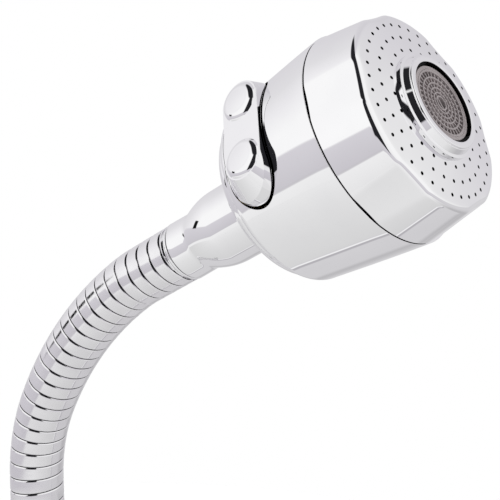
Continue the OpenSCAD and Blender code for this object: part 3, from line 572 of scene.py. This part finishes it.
def makeShell():
    rimRadius, rimFront = shell["rim"]
    outline = [(rimRadius, -rimFront), (rimRadius, -shell["seam"]),
               (shell["radius"], -shell["seam"], shell["seamRound"])]
    edgeStart = shell["rear"] - shell["edgeLead"]
    for i in range(1, shell["sideSteps"] + 1):
        z = shell["seam"] + (edgeStart - shell["seam"]) * i / shell["sideSteps"]
        outline.append((shellSide(z), -z))
    # a round rear edge, then the dome
    middle = shellSide(edgeStart) - shell["edge"]
    steps = shell["roundSteps"]
    for i in range(1, steps + 1):
        turn = math.radians(shell["edgeTurn"]) * i / steps
        outline.append((middle + shell["edge"] * math.cos(turn),
                        -edgeStart - shell["edge"] * math.sin(turn)))
    domeAt, domeFrom = outline[-1]
    for i in range(1, steps + 1):
        turn = math.pi / 2 * i / (steps + 1)
        outline.append((shell["boss"] + (domeAt - shell["boss"]) * math.cos(turn),
                        domeFrom + (-shell["domeEnd"] - domeFrom) * math.sin(turn)))
    outline.append((shell["boss"], -shell["back"], shell["bossRound"]))
    outline += [(radius, -behind) for radius, behind in shell["inside"]]
    piece = addPiece("rearShell", turnedShape(outline, 240))
    # the window stands a little forward of the rocker
    window = stadiumPrism(diverter["halfWidth"] + shell["windowGap"], 80)
    carve(piece, addPiece("window", window, diverterTurn @ Matrix.Translation((0, 0, shell["windowFore"]))))
    piece.data.transform(headPlace)
    finishPiece(piece, materials["chrome"], "head", ["rear_shell"])


makeShell()


# rocker

rocker = {
    "top": 26.9, "sleeve": 23.2, "endTrim": 0.3, "plateProud": 0.1, "plateRound": 0.25, "plateMargin": 2,
    "padRadius": 5.4, "padReach": 8.1, "padFore": 1.4, "padSink": 0.4, "padInset": 0.03, "round": 0.5,
    "flareUp": 1.6, "flareDown": 4.04, "depth": 7,
    "crown": 5.0, "flatCrown": 3.1, "crownCurve": 2.3, "crownRise": 0.14, "crownFoot": -0.4,
}


def rockerPlate():
    # fills the window, flush with the shell
    reach = diverter["halfWidth"] + rocker["plateMargin"]
    outline = [(rocker["sleeve"], -shell["rear"]), (rocker["sleeve"], -diverter["behind"] + reach)]
    for i in range(9):
        z = diverter["behind"] - reach + (reach + diverter["halfWidth"]) * i / 8
        outline.append((shellSide(z) + rocker["plateProud"], -z))
    prism = stadiumPrism(diverter["halfWidth"], 64, trim=rocker["endTrim"])
    plate = addPiece("sprayRocker", prism, diverterTurn)
    carve(plate, addPiece("sleeve", turnedShape(outline, 240)), "INTERSECT")
    softenEdges(plate, rocker["plateRound"])
    return plate


def rockerPads():
    # one block under both pads: its flat top narrows upwards and has a rounded rim
    radius, centre = rocker["padRadius"], rocker["padReach"]
    block = bmesh.new()
    bmesh.ops.create_circle(block, cap_ends=True, segments=96, radius=radius)
    for v in block.verts:
        v.co.y += math.copysign(centre, v.co.y)
    for v in extrude(block, (0, 0, -rocker["depth"])):
        side = math.copysign(centre, v.co.y)
        away = (v.co.y - side) / radius
        flare = rocker["flareDown"] + (rocker["flareUp"] - rocker["flareDown"]) * max(0, -away)
        reach = 1 + flare / radius
        v.co.x *= reach
        v.co.y = side + (v.co.y - side) * reach
    bmesh.ops.recalc_face_normals(block, faces=block.faces[:])
    atTop = Matrix.Translation((rocker["top"], 0, rocker["padFore"])) @ Matrix.Rotation(math.pi / 2, 4, "Y")
    pads = addPiece("pads", block, diverterTurn @ atTop)
    width = diverter["halfWidth"] - rocker["padInset"]
    ends = stadiumPrism(width, 72, diverter["inner"] - 1, diverter["outer"] + 1, rocker["endTrim"])
    carve(pads, addPiece("ends", ends, diverterTurn), "INTERSECT")
    inner = rocker["sleeve"] + rocker["padSink"]
    inside = turnedShape([(axis, -18), (inner, -18), (inner, -52), (axis, -52)], 100)
    carve(pads, addPiece("inside", inside))
    softenEdges(pads, rocker["round"])
    return pads


def crownProfile():
    # a low crown: nearly flat, then curving down to a crisp foot
    wide, flat, curve = rocker["crown"], rocker["flatCrown"], rocker["crownCurve"]
    drop = curve - math.sqrt(curve ** 2 - (wide - flat) ** 2)
    profile = [(axis, rocker["crownFoot"]), (wide, rocker["crownFoot"])]
    for i in range(17):
        reach = wide - (wide - flat) * i / 16
        profile.append((reach, drop - curve + math.sqrt(curve ** 2 - (reach - flat) ** 2)))
    for i in range(1, 9):
        reach = flat * (1 - i / 8)
        profile.append((max(axis, reach), drop + rocker["crownRise"] * (1 - (reach / flat) ** 2)))
    return profile


def makeRocker():
    # the pads stand in the plate, and the crowns on the pads
    plate = rockerPlate()
    pads = rockerPads()
    whole = bmesh.new()
    whole.from_mesh(plate.data)
    whole.from_mesh(pads.data)
    bpy.data.objects.remove(pads)
    for side in (-1, 1):
        middle = Matrix.Translation((rocker["top"], side * rocker["padReach"], rocker["padFore"]))
        joinTurned(whole, crownProfile(), 128, diverterTurn @ middle @ Matrix.Rotation(math.pi / 2, 4, "Y"))
    bmesh.ops.transform(whole, matrix=headPlace, verts=whole.verts[:])
    whole.to_mesh(plate.data)
    whole.free()
    finishPiece(plate, materials["chrome"], "rocker", ["rocker"], sharp=21)


makeRocker()


# front bezel

bezel = {
    "seam": 13.94, "rear": 27.1, "front": 25.0, "seamRound": 0.12, "corner": (25.07, -0.44), "edge": 1.3,
    "slope": 0.137, "thick": 1.6, "bore": 11.7, "faceRings": (13, 14.8, 16.6, 18.3, 20.1, 21.8, 23.0),
    "sideRings": (0.15, 0.32, 0.5, 0.68, 0.85), "thread": 24.1, "threadEnd": 6.7, "wall": 22.5,
    "clock": 7.8, "flat": 24.38, "lean": 9.75, "hollow": 0.14, "hollowTurn": 11, "soft": 0.06,
    "pressFrom": 22.3, "pressOver": 1.4,
    "rings": [(21.84, 38), (18.34, 30), (14.83, 22)],  # radius and number of holes
    "holeRadius": 0.46,
}


def faceHeight(radius):
    return (bezel["rings"][0][0] - radius) * bezel["slope"]


def bezelSide(share):
    return bezel["front"] + (bezel["rear"] - bezel["front"]) * share


def pressFlats(shape):
    # six leaning finger flats, pressed into the side and its rounded edge
    lean = math.tan(math.radians(bezel["lean"]))
    for v in shape.verts:
        radius = math.hypot(v.co.x, v.co.y)
        onThread = abs(radius - bezel["thread"]) < 0.02 and v.co.z < -6
        if radius < bezel["pressFrom"] or v.co.z < -bezel["seam"] - 0.1 or onThread:
            continue
        turn = math.degrees(math.atan2(v.co.y, v.co.x)) - bezel["clock"]
        off = math.radians((turn + 30) % 60 - 30)
        side = bezelSide(-v.co.z / bezel["seam"])
        hollow = bezel["hollow"] * max(0, 1 - (math.degrees(off) / bezel["hollowTurn"]) ** 2)
        flat = (bezel["flat"] - hollow - v.co.z * lean) / math.cos(off)
        pressed = 0.5 * (side + flat - math.sqrt((side - flat) ** 2 + bezel["soft"] ** 2))
        share = min(1, (radius - bezel["pressFrom"]) / bezel["pressOver"])
        moved = radius - (side - pressed) * share
        v.co.x *= moved / radius
        v.co.y *= moved / radius


def sprayHoles():
    thick, hole = bezel["thick"], bezel["holeRadius"]
    drills = bmesh.new()
    for radius, count in bezel["rings"]:
        for i in range(count):
            turn = math.radians(bezel["clock"] + 360 * i / count)
            height = faceHeight(radius) - thick / 2
            at = Matrix.Translation((radius * math.cos(turn), radius * math.sin(turn), height))
            bmesh.ops.create_cone(drills, segments=20, radius1=hole, radius2=hole, depth=thick + 2,
                                  cap_ends=True, cap_tris=False, matrix=at)
    return drills


def makeBezel():
    bore, thick, seam = bezel["bore"], bezel["thick"], bezel["seam"]
    thread, wall, threadEnd = bezel["thread"], bezel["wall"], bezel["threadEnd"]
    outline = [(bore, faceHeight(bore) - thick), (bore, faceHeight(bore))]
    outline += [(radius, faceHeight(radius)) for radius in bezel["faceRings"]]
    outline.append((*bezel["corner"], bezel["edge"]))
    outline += [(bezelSide(share), -seam * share) for share in bezel["sideRings"]]
    outline += [(bezel["rear"], -seam, bezel["seamRound"]), (thread, -seam), (thread, -threadEnd),
                (wall, -threadEnd), (wall, faceHeight(wall) - thick)]
    shape = turnedShape(outline, 288)
    pressFlats(shape)
    piece = addPiece("frontBezel", shape)
    carve(piece, addPiece("drills", sprayHoles()))
    piece.data.transform(headPlace)
    finishPiece(piece, materials["chrome"], "head", ["front_bezel"], sharp=40)


makeBezel()


# aerator

aerator = {
    "foot": 13.35, "footHeight": 1.1, "side": 12.5, "rim": 11.7, "height": 4.18, "mouth": 10.14,
    "thread": 11.6, "threadLength": 8, "insert": 9.41, "lip": 0.2, "insertPlay": 0.1, "relief": 0.9,
    "drop": 0.72, "grille": 1.2, "rib": 0.36, "ribDrop": 0.22, "bandRound": 0.14,
    # outer and inner radius of each ring of cells, and their number
    "rows": [(7.95, 6.75, 34), (6.3, 5.3, 28), (4.9, 4.05, 22), (3.65, 2.85, 16), (2.45, 1.95, 8)],
    "shallow": 0.62, "shallowReach": 6.6, "shallowThick": 0.2, "centre": 1.5, "bar": 0.4,
}


def makeCollar():
    rim, top, mouth = aerator["rim"], aerator["height"], aerator["mouth"]
    thread, tail = aerator["thread"], -aerator["threadLength"]
    foot = faceHeight(aerator["foot"])
    ledge = foot + aerator["footHeight"]
    lip = top - aerator["drop"] - aerator["grille"]
    seat, relief = aerator["insert"] + aerator["insertPlay"], aerator["insert"] + aerator["relief"]
    shape = turnedShape([
        (thread, tail), (thread, foot + 0.02), (aerator["foot"], foot + 0.02),
        (aerator["foot"], ledge, 0.08), (aerator["side"], ledge + 0.1, 0.05),
        (rim + 0.22, top - 0.5, 0.04), (rim + 0.06, top - 0.46, 0.03), (rim, top, 0.3),
        (mouth, top, 0.2), (mouth, lip + aerator["lip"]), (seat, lip + aerator["lip"]),
        (seat, lip - 1), (relief, lip - 1), (relief, tail)], 192)
    # the mouth's inner wall is painted dark, as shade in the recess
    markPaintedShade(shape, lambda radius, z: radius < mouth + 0.02 and z < top - 0.1)
    collar = addPiece("aeratorCollar", shape, headPlace)
    finishPiece(collar, materials["mouth"], "head", ["aerator_collar"])


def makeGrille():
    centre, rows = aerator["centre"], aerator["rows"]
    front = aerator["height"] - aerator["drop"]
    back = front - aerator["grille"]
    clock = Matrix.Rotation(math.radians(bezel["clock"]), 4, "Z")
    shape = bmesh.new()
    # the plain outer band has a fine raised line
    joinTurned(shape, [(aerator["insert"], back), (aerator["insert"], front, 0.1), (8.75, front, 0.05),
                       (8.68, front - 0.12, 0.04), (8.5, front - 0.12, 0.04), (8.42, front + 0.02, 0.05),
                       (rows[0][0], front + 0.02, 0.1), (rows[0][0], back)], 96)
    inners = [inner for outer, inner, count in rows]
    outers = [outer for outer, inner, count in rows[1:]] + [centre]
    soft = aerator["bandRound"]
    for outer, inner in zip(inners, outers):
        joinTurned(shape, [(outer, back), (outer, front, soft), (inner, front, soft), (inner, back)], 96)
    tall = aerator["grille"] - aerator["ribDrop"]
    for outer, inner, count in rows:
        size = Matrix.Diagonal((outer - inner + 0.2, aerator["rib"], tall, 1))
        middle = Matrix.Translation(((outer + inner) / 2, 0, back + tall / 2))
        for i in range(count):
            turn = Matrix.Rotation(math.radians(bezel["clock"] + 360 * i / count), 4, "Z")
            bmesh.ops.create_cube(shape, size=1, matrix=turn @ middle @ size)
    # the inner rows are shallow
    shallow, reach = front - aerator["shallow"], aerator["shallowReach"]
    under = shallow - aerator["shallowThick"]
    hole = centre + 0.1
    joinTurned(shape, [(hole, under), (reach, under), (reach, shallow), (hole, shallow)], 96)
    size = Matrix.Diagonal((2 * centre + 0.1, aerator["bar"], aerator["grille"] - 0.3, 1))
    middle = Matrix.Translation((0, 0, (front + back) / 2 - 0.15))
    bmesh.ops.create_cube(shape, size=1, matrix=clock @ middle @ size)
    grille = addPiece("aeratorGrille", shape, headPlace)
    finishPiece(grille, materials["grey_plastic"], "head", ["aerator_grille"])


makeCollar()
makeGrille()


# pieces shown as the frame holds them

nodeMaterials = {
    "liner": ["inner_hose"],
    "brass": ["valve_body", "bore_plugs"],
    "rubber": ["base_washer", "inlet_washer", "core_oring", "spool_orings", "bezel_gasket", "centre_oring",
               "aerator_gasket"],
    "mesh": ["filter_screen", "aerator_screen"],
    "screws": ["core_screws", "rocker_pin"],
    "acetal": ["spool", "centre_tube", "flow_regulator"],
    "grey_plastic": ["aerator_body"],
    "chrome": ["upper_spigot", "lower_tail"],
}
for materialName, names in nodeMaterials.items():
    for name in names:
        node = frame["nodes"][name]
        node.data.materials.clear()
        node.data.materials.append(materials[materialName])
print("dressed", sum(len(names) for names in nodeMaterials.values()), "frame nodes")


# studio: levels are display levels of grey, and a tint leans to lilac

studio = {
    "dark": (0.018, 0.018, 0.021), "patch": (0.008, 0.008, 0.009),
    # degrees round the object (0 is -Y, 90 is +X), level, tint: white in front, duller behind
    "walls": [(-180, 214, 2), (-140, 218, 2), (-100, 230, 1), (-80, 242, 1), (-60, 254, 0),
              (-20, 256, 0), (45, 243, 0), (80, 252, 0), (120, 251, 0), (140, 240, 0),
              (155, 226, 1), (168, 219, 2), (180, 214, 2)],
    # degrees above the horizon, level, tint: a lilac band over the table's far part
    "front": [(-90, 217, 0), (-60, 229, 0), (-45, 236, 0), (-25.2, 244, 0), (-24.9, 214, 1),
              (-24.1, 216, 2), (-23.8, 196, 2), (-23.0, 206, 2.5), (-3, 216, 2.5), (-2, 220, 2)],
    "behind": [(-90, 212, 0), (-50, 212, 0), (-42, 190, 1), (-34, 190, 1), (-28, 205, 1),
               (-15, 216, 1), (0, 214, 1)],
    # turn and height of the dark room's edges: round the camera, above the lamps, and one small patch
    "openingTurn": (-5, 41, 1.5), "openingHeight": (-9.5, 95, 1.5),
    "ceilingTurn": (-118, 50, 6), "ceilingHeight": (49, 95, 2),
    "patchTurn": (-74, -64.5, 0.6), "patchHeight": (-3, 8.5, 0.6),
    # metres from the middle, level, tint: the table as it is mirrored
    "table": [(-0.32, 240, 0), (-0.26, 238, 0), (-0.16, 229, 0), (-0.05, 221, 0), (0.006, 217, 0),
              (0.009, 203, 2), (0.012, 252, 0), (0.016, 250, 0), (0.019, 182, 2), (0.027, 184, 2),
              (0.031, 214, 1), (0.16, 211, 1), (0.21, 190, 1), (0.3, 200, 1)],
    "tableReach": 0.35, "tableLean": -0.23, "floorRadius": 0.30, "floorGlow": 0.52,
}


def grey(level, tint):
    def linear(value):
        value = min(value, 275) / 255
        return value / 12.92 if value <= 0.04045 else ((value + 0.055) / 1.055) ** 2.4
    return linear(level), linear(level - tint), linear(level + tint * 1.2)


def stopsOf(rows, reach):
    # rows from -reach to reach, as stops of a colour ramp
    return [(at / (2 * reach) + 0.5, grey(level, tint)) for at, level, tint in rows]


def makeWorld():
    world = bpy.data.worlds.new("studio")
    bpy.context.scene.world = world
    world.use_nodes = True
    tree = world.node_tree
    tree.nodes.clear()

    def calculate(operation, *values):
        node = tree.nodes.new("ShaderNodeMath")
        node.operation = operation
        for socket, value in zip(node.inputs, values):
            if isinstance(value, (int, float)):
                socket.default_value = value
            else:
                tree.links.new(value, socket)
        return node.outputs[0]

    def within(value, low, high, soft):
        # 1 between low and high, with soft edges
        rise = between(tree, value, 0, 1, low - soft, low + soft)
        fall = between(tree, value, 1, 0, high - soft, high + soft)
        return calculate("MULTIPLY", rise, fall)

    place = tree.nodes.new("ShaderNodeTexCoord")
    split = tree.nodes.new("ShaderNodeSeparateXYZ")
    tree.links.new(place.outputs["Generated"], split.inputs[0])
    x, y, z = split.outputs
    height = calculate("MULTIPLY", calculate("ARCSINE", z), 180 / math.pi)
    turn = calculate("MULTIPLY", calculate("ARCTAN2", x, calculate("MULTIPLY", y, -1)), 180 / math.pi)
    upShare = calculate("ADD", calculate("DIVIDE", height, 180), 0.5)
    roundShare = calculate("ADD", calculate("DIVIDE", turn, 360), 0.5)

    def area(name):
        across = within(turn, *studio[name + "Turn"])
        return calculate("MULTIPLY", across, within(height, *studio[name + "Height"]))

    walls = ramp(tree, roundShare, stopsOf(studio["walls"], 180))
    front = ramp(tree, upShare, stopsOf(studio["front"], 90))
    behind = ramp(tree, upShare, stopsOf(studio["behind"], 90))
    low = mixColours(tree, between(tree, calculate("ABSOLUTE", turn), 0, 1, 95, 130), front, behind)
    colour = mixColours(tree, between(tree, height, 0, 1, -2.2, -0.8), low, walls)
    room = calculate("MAXIMUM", area("opening"), area("ceiling"))
    colour = mixColours(tree, room, colour, studio["dark"])
    colour = mixColours(tree, area("patch"), colour, studio["patch"])
    mirrored = tree.nodes.new("ShaderNodeBackground")
    tree.links.new(colour, mirrored.inputs["Color"])
    plain = tree.nodes.new("ShaderNodeBackground")
    plain.inputs["Color"].default_value = (1, 1, 1, 1)
    paths = tree.nodes.new("ShaderNodeLightPath")
    choose = tree.nodes.new("ShaderNodeMixShader")
    output = tree.nodes.new("ShaderNodeOutputWorld")
    tree.links.new(paths.outputs["Is Camera Ray"], choose.inputs[0])
    tree.links.new(mirrored.outputs[0], choose.inputs[1])
    tree.links.new(plain.outputs[0], choose.inputs[2])
    tree.links.new(choose.outputs[0], output.inputs["Surface"])


def makeFloor():
    # white to the eye, with the object's shadow; mirrored, it has a grey seam and a lighter front
    shape = bmesh.new()
    bmesh.ops.create_circle(shape, cap_ends=True, segments=96, radius=studio["floorRadius"])
    floor = addPiece("floor", shape)
    material, tree, shader = newMaterial("paleFloor")
    place = coordinates(tree)
    cloud = noise(tree, place, scale=40, detail=3)
    tint = ramp(tree, cloud, [(0.3, (0.79, 0.79, 0.79)), (0.7, (0.81, 0.81, 0.81))])
    tree.links.new(tint, shader.inputs["Base Color"])
    shader.inputs["Roughness"].default_value = 0.8
    paths = tree.nodes.new("ShaderNodeLightPath")
    glow = tree.nodes.new("ShaderNodeEmission")
    seen = between(tree, paths.outputs["Is Camera Ray"], 0, studio["floorGlow"], 0, 1)
    tree.links.new(seen, glow.inputs["Strength"])
    both = tree.nodes.new("ShaderNodeAddShader")
    tree.links.new(shader.outputs[0], both.inputs[0])
    tree.links.new(glow.outputs[0], both.inputs[1])

    split = tree.nodes.new("ShaderNodeSeparateXYZ")
    tree.links.new(place, split.inputs[0])
    across = tree.nodes.new("ShaderNodeMath")
    across.operation = "MULTIPLY_ADD"
    across.inputs[1].default_value = studio["tableLean"]
    tree.links.new(split.outputs["X"], across.inputs[0])
    tree.links.new(split.outputs["Y"], across.inputs[2])
    reach = studio["tableReach"]
    along = between(tree, across.outputs[0], 0, 1, -reach, reach)
    shade = ramp(tree, along, stopsOf(studio["table"], reach))
    mirrored = tree.nodes.new("ShaderNodeEmission")
    tree.links.new(shade, mirrored.inputs["Color"])
    choose = tree.nodes.new("ShaderNodeMixShader")
    output = next(n for n in tree.nodes if n.type == "OUTPUT_MATERIAL")
    tree.links.new(paths.outputs["Is Glossy Ray"], choose.inputs[0])
    tree.links.new(both.outputs[0], choose.inputs[1])
    tree.links.new(mirrored.outputs[0], choose.inputs[2])
    tree.links.new(choose.outputs[0], output.inputs["Surface"])
    floor.data.materials.append(material)


# degrees round the object and above the horizon
view = {"turn": 35.4, "height": 10, "place": (0.25576, -0.24770, 0.24864), "lens": 86.807}


def makeCamera():
    data = bpy.data.cameras.new("camera")
    data.lens = view["lens"]
    data.sensor_width = 36
    data.clip_start = 0.01
    camera = bpy.data.objects.new("camera", data)
    camera.location = view["place"]
    camera.rotation_euler = (math.radians(90 - view["height"]), 0, math.radians(view["turn"]))
    bpy.context.scene.collection.objects.link(camera)
    bpy.context.scene.camera = camera


makeWorld()
makeFloor()
makeCamera()
bpy.context.scene.view_settings.view_transform = "Standard"
print("studio ready")
